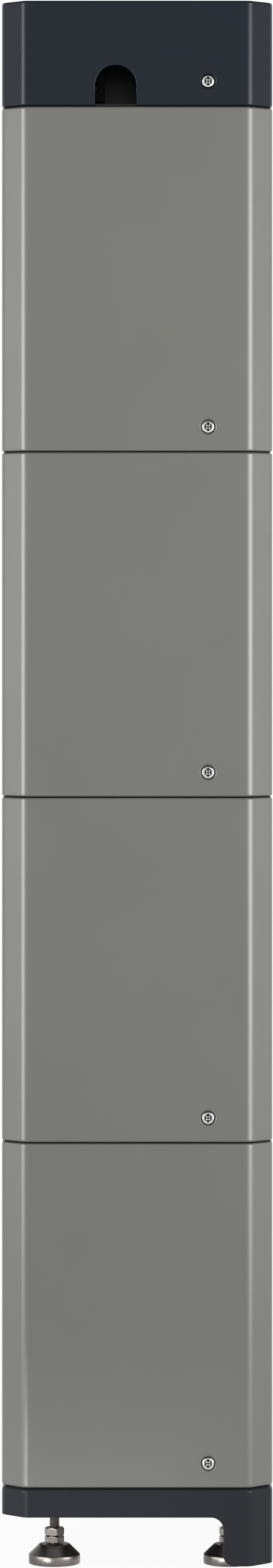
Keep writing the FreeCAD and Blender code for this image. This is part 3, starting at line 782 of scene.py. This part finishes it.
def screwMesh():  # pan head with its recess, made along +Z with z = 0 at the end face
    shape = screwShape
    top = -shape["sink"]
    under = top - shape["headHeight"]
    foot = under - shape["shankLength"]
    end = shape["shankEnd"]
    soft = shape["headUnder"]
    edge = shape["edge"]
    profile = [(0, foot), (shape["shank"] - end, foot), (shape["shank"], foot + end), (shape["shank"], under),
               (shape["head"] - soft, under), (shape["head"], under + soft)]
    for x, rise in arcPoints(edge, shape["head"] - edge, 0, 0, pi / 2, shape["edgeSteps"]):
        profile.append((x, top - edge * shape["edgeDrop"] + rise * shape["edgeRise"]))
    profile += [(shape["recess"] * share, top - below) for share, below in shape["crownSteps"]]
    profile.append((0, top))
    build = opened(cutRecess(meshFrom(lathe(profile, 72), "panHead"), top))
    addPosts(build, top)
    return meshFrom(build, "lockScrew", 35)


def paintRecessShade(mesh):  # painted shade on the walls and floor of the recess; the post tips keep the bright steel
    shape = screwShape
    mesh.materials.append(materials["paintedRecessShade"])
    for polygon in mesh.polygons:
        x, y, z = polygon.center
        depth = -shape["sink"] - z
        within = hypot(x, y) < shape["slotLength"] / 2
        tip = depth < shape["tipBright"] and polygon.normal.z > shape["tipUp"]
        if within and shape["shadeFrom"] < depth < shape["shadeTo"] and not tip:
            polygon.material_index = 1


def squareNutMesh():
    half = screwShape["nut"]
    low = (-half, -half, -screwShape["nutTo"])
    build = softBox(low, (half, half, -screwShape["nutFrom"]), screwShape["nutSoft"])
    return meshFrom(build, "squareNut", 50)


def makeLocks():
    seat = seatMesh()
    screw = screwMesh()
    nut = squareNutMesh()
    units = [("hood", "hood", "darkPaint")]
    units += [(name, name + "_casing", "greyPaint") for name in modules]
    for body, node, paint in units:
        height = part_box(node)[0].z + lockShape["rise"]
        ownSeat = seat.copy()
        for side, end in ((-1, "near"), (1, "far")):
            place = Matrix.Translation((lockShape["x"], side * halfDepth, height))
            for kind, mesh, material in (("seat", ownSeat, paint), ("screw", screw, "screwSteel"),
                                         ("nut", nut, "zincSteel")):
                piece = newPiece(f"{body}_lock_{kind}_{end}", mesh, material, body)
                piece.matrix_world = place @ facingEnd(side)
    # the faces inside the recess get the painted shade
    paintRecessShade(screw)


makeLocks()
print("lock screws built")

# Levelling feet

footShape = {
    "padRadius": 0.025, "padBand": 0.0091,
    "bandSteps": ((0, -0.0006), (-0.0002, -0.0001), (-0.0007, 0.0005)),  # out and up from the band's top
    "padTop": 0.0191, "padRim": 0.0145,
    "rimSteps": ((0.0012, -0.0012), (0.0005, -0.00055), (-0.0003, -0.00015), (-0.0012, 0)),
    "hollow": 0.0003, "hollowIn": (0.003, 0.0026), "pocket": 0.0046, "pocketFloor": 0.008,
    "pocketSoft": 0.0003, "soft": 0.0009, "softSteps": 4, "neck": 0.0035, "neckEnd": 0.0006,
    "flats": 0.017, "hexLow": 0.0202,
    "hexFace": 0.95,  # share of the flats that the end faces reach
    "hexBevel": 0.001, "bevelAngle": radians(30), "bevelSteps": 4, "hexSteps": 48,
    "turn": radians(-15), "stud": 0.0049, "pitch": 0.0015, "threadDepth": 0.0009,
    "grooveShare": 0.4, "threadRows": 8, "threadSides": 28, "threadSink": 0.001, "leadLength": 0.0012,
    "leadDepth": 0.0009, "room": 0.0003,
}


def padMesh():
    shape = footShape
    soft = shape["soft"]
    outer = shape["padRadius"]
    top = shape["padTop"]
    pocket = shape["pocket"]
    hollow = shape["hollow"]
    hollowTop, hollowFoot = (outer - inset for inset in shape["hollowIn"])
    profile = [(0, hollow), (hollowTop, hollow), (hollowFoot, 0)]
    profile += arcPoints(soft, outer - soft, soft, -pi / 2, pi / 2, shape["softSteps"])
    profile += [(outer + out, shape["padBand"] + up) for out, up in shape["bandSteps"]]
    profile += [(shape["padRim"] + out, top + up) for out, up in shape["rimSteps"]]
    profile += [(pocket + shape["pocketSoft"], top), (pocket, top - shape["pocketSoft"]),
                (pocket, shape["pocketFloor"]), (0, shape["pocketFloor"])]
    return meshFrom(lathe(profile, 96), "footPad", 24)


def hexRings(low, high, bore):  # hexagon with both ends chamfered, from the low bore edge to the high one
    shape = footShape
    half = shape["flats"] / 2
    count = shape["hexSteps"]
    facet = count // 6
    turns = [pi / 3 * ((step % facet) / facet - 0.5) for step in range(count)]
    depths = [shape["hexBevel"] * step / shape["bevelSteps"] for step in range(shape["bevelSteps"] + 1)]
    levels = [(low + depth, depth) for depth in depths] + [(high - depth, depth) for depth in depths[::-1]]
    rings = [(low, [bore] * count)]
    for z, depth in levels:
        limit = half * shape["hexFace"] + depth / tan(shape["bevelAngle"])
        rings.append((z, [min(half / cos(a), limit) for a in turns]))
    rings.append((high, [bore] * count))
    return [turnedRing(sizes, z, shape["turn"]) for z, sizes in rings]


def hexNut(low, high, bore):
    rings = hexRings(low, high, bore)
    return ringSolid(rings + [rings[0]])


def threadRings(low, high):
    shape = footShape
    sides = shape["threadSides"]
    rows = int((high - low) / shape["pitch"] * shape["threadRows"])
    rings = []
    for row in range(rows + 1):
        z = low + (high - low) * row / rows
        lead = max(0, 1 - (high - z) / shape["leadLength"]) * shape["leadDepth"]
        sizes = []
        for step in range(sides):
            phase = (z / shape["pitch"] - step / sides) % 1
            groove = max(0, 1 - abs(phase - 0.5) / shape["grooveShare"])
            sizes.append(shape["stud"] - shape["threadDepth"] * groove - lead)
        rings.append(turnedRing(sizes, z))
    return rings


def studMesh(low, hexHigh, high):
    shape = footShape
    neck = shape["neck"]
    end = shape["neckEnd"]
    build = bmesh.new()
    addLoft(build, hexRings(shape["hexLow"], hexHigh, neck), False, True)
    neckSteps = ((neck - end, low), (neck, low + end), (neck, shape["hexLow"]))
    addLoft(build, [turnedRing([size] * shape["hexSteps"], z, shape["turn"]) for size, z in neckSteps], True)
    addLoft(build, threadRings(hexHigh - shape["threadSink"], high), True, True)
    return meshFrom(faceOutward(build), "footStud", 28)


def makeFeet():
    nutLow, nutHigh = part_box("locknut_left_near")
    studLow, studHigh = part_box("foot_stud_left_near")
    pad = padMesh()
    stud = studMesh(studLow.z, nutLow.z, studHigh.z)
    nut = meshFrom(hexNut(nutLow.z, nutHigh.z, footShape["stud"] + footShape["room"]), "locknut", 28)
    for place in ("left_near", "right_near", "left_far", "right_far"):
        low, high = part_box("foot_pad_" + place)
        centre = (low + high) / 2
        for kind, mesh, body, node in (("pad", pad, "pad_", "foot_pad_"),
                                       ("stud", stud, "foot_", "foot_stud_"),
                                       ("locknut", nut, "nut_", "locknut_")):
            piece = newPiece(f"{kind}_{place}_turned", mesh, "stainless", body + place)
            piece.location.xy = centre.xy
            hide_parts(node + place)


makeFeet()
print("feet built")

# Fittings of the control unit, seen when the hood is lifted

fitting = {
    "nutFlats": 0.013, "nutHeight": 0.0065, "washer": 0.008, "washerHeight": 0.0014,
    "washerSoft": 0.2,  # share of the height
    "studSpacing": 0.03, "studLength": 0.015, "terminalBore": 0.00405, "terminalTurn": 0.3,
    "contactorStud": 0.012, "contactorDepth": 0.06, "contactorBore": 0.0043, "signalWays": 6,
    "signalDrop": 0.005, "signalScrew": 0.0024, "screwHead": 0.0034, "screwRise": 0.0018,
    "screwSteps": ((0.98, 0), (1, 0.5), (0.93, 0.85), (0.8, 1)),  # shares of the radius and the rise
    "screwTurn": 1.9, "slotHalf": 0.17, "slotFloor": 0.45, "isolatorInset": (0.0045, 0.0045),
    "panelInset": (0.007, 0.008), "lineWidth": 0.0022, "lineHeight": 0.0008, "lineFrom": 0.002,
    "lineTo": 0.0035, "lineProud": 0.0001, "lineSoft": 0.00009, "fuseLength": 0.07, "capLength": 0.01,
    "capRise": 0.0005, "capOver": 0.001, "capSoft": 0.0012,
}
board = {
    "top": 0.0136, "canRadius": 0.0062, "canHeight": 0.017,
    "canFoot": ((0, 0), (0, 0.0016), (-0.0005, 0.0021), (-0.0005, 0.0029), (0, 0.0034)),
    "canTop": ((0, -0.0008), (-0.0007, 0), (-0.0016, 0), (-0.0019, -0.0003)),
    "canPlaces": ((-0.058, -0.026), (-0.042, -0.026), (-0.026, -0.026), (-0.01, -0.026)),
    "chipSize": (0.014, 0.014, 0.0016),
    "chipPlaces": ((0.02, -0.026), (0.044, -0.024), (-0.05, 0.024), (-0.02, 0.026)),
    "chipLift": 0.0004, "chipSoft": 0.0002, "legs": 7, "legSize": (0.0006, 0.0012, 0.0008),
    "headerSize": (0.034, 0.008, 0.0095), "headerPlaces": ((0.02, 0.034), (0.056, 0.034)),
    "headerSoft": 0.0003, "headerWall": 0.0011, "headerFloor": 0.003, "pins": 8, "pinWidth": 0.0008,
    "pinDrop": 0.002,
}


def addPart(build, part, place=None):  # sets a finished part into a larger mesh
    if place:
        bmesh.ops.transform(part, matrix=place, verts=part.verts)
    mesh = meshFrom(part, "part")
    build.from_mesh(mesh)
    bpy.data.meshes.remove(mesh)


def addNutOnWasher(build, place, bore):
    radius = fitting["washer"]
    height = fitting["washerHeight"]
    soft = height * fitting["washerSoft"]
    profile = [(bore, 0), (radius - soft, 0), (radius, soft), (radius, height - soft),
               (radius - soft, height), (bore, height), (bore, 0)]
    addPart(build, lathe(profile, 40), place)
    share = fitting["nutFlats"] / footShape["flats"]
    above = place @ Matrix.Translation((0, 0, height)) @ Matrix.Scale(share, 4)
    addPart(build, hexNut(0, fitting["nutHeight"] / share, bore / share), above)


def addSlottedScrew(build, place, radius):
    rise = fitting["screwRise"]
    half = radius * fitting["slotHalf"]
    profile = [(0, 0)] + [(radius * out, rise * up) for out, up in fitting["screwSteps"]] + [(0, rise)]
    head = meshFrom(lathe(profile, 32), "screwHead")
    slot = bmesh.new()
    addBox(slot, (-2 * radius, -half, rise * fitting["slotFloor"]), (2 * radius, half, 2 * rise))
    addPart(build, opened(cutMesh(head, slot)), place)


def finishPiece(build, name, material, body="control_unit"):
    newPiece(name, meshFrom(build, name, 40), material, body)


def makeTerminalNuts():
    low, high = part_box("power_terminals")
    centre = (low + high) / 2
    build = bmesh.new()
    for step in (-1, 0, 1):
        spot = (centre.x + step * fitting["studSpacing"], low.y + fitting["studLength"], centre.z)
        turn = Matrix.Rotation(fitting["terminalTurn"] * (step + 1), 4, "Z")
        addNutOnWasher(build, Matrix.Translation(spot) @ facingEnd(-1) @ turn, fitting["terminalBore"])
    finishPiece(build, "terminal_nuts", "blackNut")


def makeContactorNuts():
    low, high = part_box("contactors")
    build = bmesh.new()
    reach = (high.x - low.x) / 4
    half = fitting["contactorDepth"] / 2
    for y in (low.y + half, high.y - half):
        for x in (low.x + reach, high.x - reach):
            place = Matrix.Translation((x, y, high.z - fitting["contactorStud"]))
            turn = Matrix.Rotation(9 * x + y, 4, "Z")  # each nut stopped at its own angle
            addNutOnWasher(build, place @ turn, fitting["contactorBore"])
    finishPiece(build, "contactor_nuts", "brassNut")


def makePanelScrews():
    build = bmesh.new()
    low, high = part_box("signal_block")
    way = (high.x - low.x) / fitting["signalWays"]
    spots = []
    for step in range(fitting["signalWays"]):
        x = low.x + (step + 0.5) * way
        spots.append((x, low.y, high.z - fitting["signalDrop"], fitting["signalScrew"]))
    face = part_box("connector_panel")[0].y
    for node, inset in (("isolator", "isolatorInset"), ("connector_panel", "panelInset")):
        low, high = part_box(node)
        across, up = fitting[inset]
        for x in (low.x + across, high.x - across):
            for z in (low.z + up, high.z - up):
                spots.append((x, face, z, fitting["screwHead"]))
    for number, (x, y, z, radius) in enumerate(spots):
        turn = Matrix.Rotation(fitting["screwTurn"] * number, 4, "Z")
        addSlottedScrew(build, Matrix.Translation((x, y, z)) @ facingEnd(-1) @ turn, radius)
    finishPiece(build, "panel_screws", "screwSteel")


def makeKnobLine():
    low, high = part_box("isolator_knob")
    middle = (low + high) / 2
    half = fitting["lineWidth"] / 2
    start = (middle.x - half, low.y - fitting["lineProud"], middle.z + fitting["lineFrom"])
    end = (middle.x + half, low.y + fitting["lineHeight"], high.z - fitting["lineTo"])
    line = softBox(start, end, fitting["lineSoft"])
    finishPiece(line, "knob_line", "fuseCeramic", "isolator_knob")


def makeFuseCaps():
    low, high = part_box("main_fuse")
    build = bmesh.new()
    rise = fitting["capRise"]
    middle = (low.x + high.x) / 2
    base = high.z - (high.y - low.y)
    half = fitting["fuseLength"] / 2
    for side in (-1, 1):
        ends = sorted(middle + side * (half + out) for out in (fitting["capOver"], -fitting["capLength"]))
        start = (ends[0], low.y - rise, base - rise)
        addPart(build, softBox(start, (ends[1], high.y + rise, high.z + rise), fitting["capSoft"]))
    finishPiece(build, "fuse_caps", "zincSteel")


def addChip(build, legs, spot):
    size = board["chipSize"]
    half = Vector(size) / 2
    middle = spot + Vector((0, 0, half.z + board["chipLift"]))
    addPart(build, softBox(middle - half, middle + half, board["chipSoft"]))
    pitch = size[0] / (board["legs"] + 1)
    leg = Vector(board["legSize"])
    for side in (-1, 1):
        y = spot.y + side * (half.y + leg.y / 2)
        for step in range(board["legs"]):
            x = spot.x - half.x + (step + 1) * pitch
            foot = Vector((x - leg.x / 2, y - leg.y / 2, spot.z))
            addBox(legs, foot, foot + leg)


def addHeader(build, legs, spot):
    size = board["headerSize"]
    half = Vector((size[0] / 2, size[1] / 2, 0))
    top = Vector((0, 0, size[2]))
    body = meshFrom(softBox(spot - half, spot + half + top, board["headerSoft"]), "header")
    hollow = bmesh.new()
    wall = Vector((board["headerWall"], board["headerWall"], 0))
    floor = Vector((0, 0, board["headerFloor"]))
    addBox(hollow, spot - half + wall + floor, spot + half - wall + 2 * top)
    addPart(build, opened(cutMesh(body, hollow)))
    width = board["pinWidth"]
    for step in range(board["pins"]):
        x = spot.x - half.x + (step + 0.5) * size[0] / board["pins"]
        foot = Vector((x - width / 2, spot.y - width / 2, spot.z))
        addBox(legs, foot, foot + Vector((width, width, size[2] - board["pinDrop"])))


def makeBoardParts():
    low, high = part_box("control_board")
    centre = (low + high) / 2
    centre.z = low.z + board["top"]
    cans, black, tinned = bmesh.new(), bmesh.new(), bmesh.new()
    radius = board["canRadius"]
    height = board["canHeight"]
    profile = [(radius + out, z) for out, z in board["canFoot"]]
    profile += [(radius + out, height + up) for out, up in board["canTop"]]
    profile = [(0, 0)] + profile + [(0, profile[-1][1])]
    for x, y in board["canPlaces"]:
        addPart(cans, lathe(profile, 40), Matrix.Translation(centre + Vector((x, y, 0))))
    for x, y in board["chipPlaces"]:
        addChip(black, tinned, centre + Vector((x, y, 0)))
    for x, y in board["headerPlaces"]:
        addHeader(black, tinned, centre + Vector((x, y, 0)))
    finishPiece(cans, "board_cans", "cellCan")
    finishPiece(black, "board_chips", "blackPlastic")
    finishPiece(tinned, "board_pins", "brassNut")


makeTerminalNuts()
makeContactorNuts()
makePanelScrews()
makeKnobLine()
makeFuseCaps()
makeBoardParts()
print("control unit fitted out")

# The frame's own nodes get the finish of their slot


def dressNodes():
    for part in frame["record"]["subparts"]:
        finish = materials[nodeFinish[part["material_slot"]]]
        slots = nodes[part["node"]].material_slots
        for slot in slots:
            slot.material = finish
        if not slots:
            nodes[part["node"]].data.materials.append(finish)


dressNodes()
print("nodes dressed")

# Stage: pale floor, pale surroundings and soft lamps

stageLook = {
    "floorRadius": 60, "floorDrop": 0.0002, "floorColour": (0.5, 0.5, 0.5, 1), "shadowShare": 0.05,
    "fadeFrom": 0.5, "fadeTo": 1.6, "ambient": 0.05, "zenith": 0.1, "paleUpTo": 0.3, "darkFrom": 0.75,
}
lamps = {  # those with gloss show in the paint as strips
    "leftStrip": {
        "place": (-1.48, -0.92, 0.99), "aim": (-0.12, -0.2, 0.99), "size": (0.72, 1.66), "power": 28,
        "gloss": True,
    },
    "rightStrip": {
        "place": (1.38, -1.12, 0.99), "aim": (0.12, -0.2, 0.99), "size": (0.9, 1.66), "power": 33,
        "gloss": True,
    },
    "leftWall": {"place": (-2.9, -0.4, 1.55), "aim": (0, -0.2, 1.1), "size": (1.6, 1.9), "power": 19},
    "rightWall": {"place": (2.9, -0.4, 1.55), "aim": (0, -0.2, 1.1), "size": (1.6, 1.9), "power": 24},
    "backWall": {"place": (0, 3.2, 1.4), "aim": (0, 0.2, 0.85), "size": (2.4, 2.4), "power": 46},
    "topPanel": {"place": (0, -1.3, 3.2), "aim": (0, 0, 1.3), "size": (1.6, 1.6), "power": 36},
    "lowCard": {
        "place": (-0.68, -1.2, 0.09), "aim": (-0.06, -0.2, 0.02), "size": (0.34, 0.16), "power": 0.13,
        "gloss": True, "spread": 18,
    },
}
white = (1, 1, 1, 1)


def lightPathMask(tree):  # 1 for what the camera, a gloss or a glass shows
    path = addNode(tree, "LightPath")
    seen = mathNode(tree, "MAXIMUM", path["Is Camera Ray"], path["Is Glossy Ray"])
    return mathNode(tree, "MAXIMUM", seen, path["Is Transmission Ray"])


def makeWorld():
    world = bpy.data.worlds.new("paleStudio")
    scene.world = world
    tree = newTree(world)
    look = stageLook
    direction = addNode(tree, "TexCoord")["Generated"]
    height = addNode(tree, "SeparateXYZ", {0: direction})["Z"]
    level = rangeNode(tree, height, look["paleUpTo"], look["darkFrom"], 1, look["zenith"])
    seen = addNode(tree, "Background", {"Color": white, "Strength": level})[0]
    ambient = addNode(tree, "Background", {"Color": white, "Strength": look["ambient"]})[0]
    mix = addNode(tree, "MixShader", {0: lightPathMask(tree), 1: ambient, 2: seen})[0]
    addNode(tree, "OutputWorld", {"Surface": mix})


def makeFloor():
    look = stageLook
    build = bmesh.new()
    bmesh.ops.create_circle(build, cap_ends=True, segments=96, radius=look["floorRadius"])
    floor = addObject("paleFloor", meshFrom(build, "paleFloor"))
    floor.location.z = -look["floorDrop"]
    material = bpy.data.materials.new("paleFloor")
    tree = newTree(material)
    away = addNode(tree, "VectorMath", {0: objectPlace(tree)}, operation="LENGTH")["Value"]
    fade = rangeNode(tree, away, look["fadeFrom"], look["fadeTo"], 1 - look["shadowShare"], 1)
    glow = mathNode(tree, "MULTIPLY", fade, lightPathMask(tree))
    matt = addNode(tree, "BsdfDiffuse", {"Color": look["floorColour"]})[0]
    pale = addNode(tree, "Emission", {"Color": white, "Strength": 1})[0]
    mix = addNode(tree, "MixShader", {0: glow, 1: matt, 2: pale})[0]
    addNode(tree, "OutputMaterial", {"Surface": mix})
    floor.data.materials.append(material)


def makeLamps():
    for name, lamp in lamps.items():
        data = bpy.data.lights.new(name, "AREA")
        data.shape = "RECTANGLE"
        data.size, data.size_y = lamp["size"]
        data.energy = lamp["power"]
        data.spread = radians(lamp.get("spread", 180))
        light = addObject(name, data)
        light.location = lamp["place"]
        toAim = Vector(lamp["aim"]) - Vector(lamp["place"])
        light.rotation_euler = toAim.to_track_quat("-Z", "Y").to_euler()
        light.visible_camera = False
        light.visible_glossy = lamp.get("gloss", False)


makeWorld()
makeFloor()
makeLamps()
print("stage built")
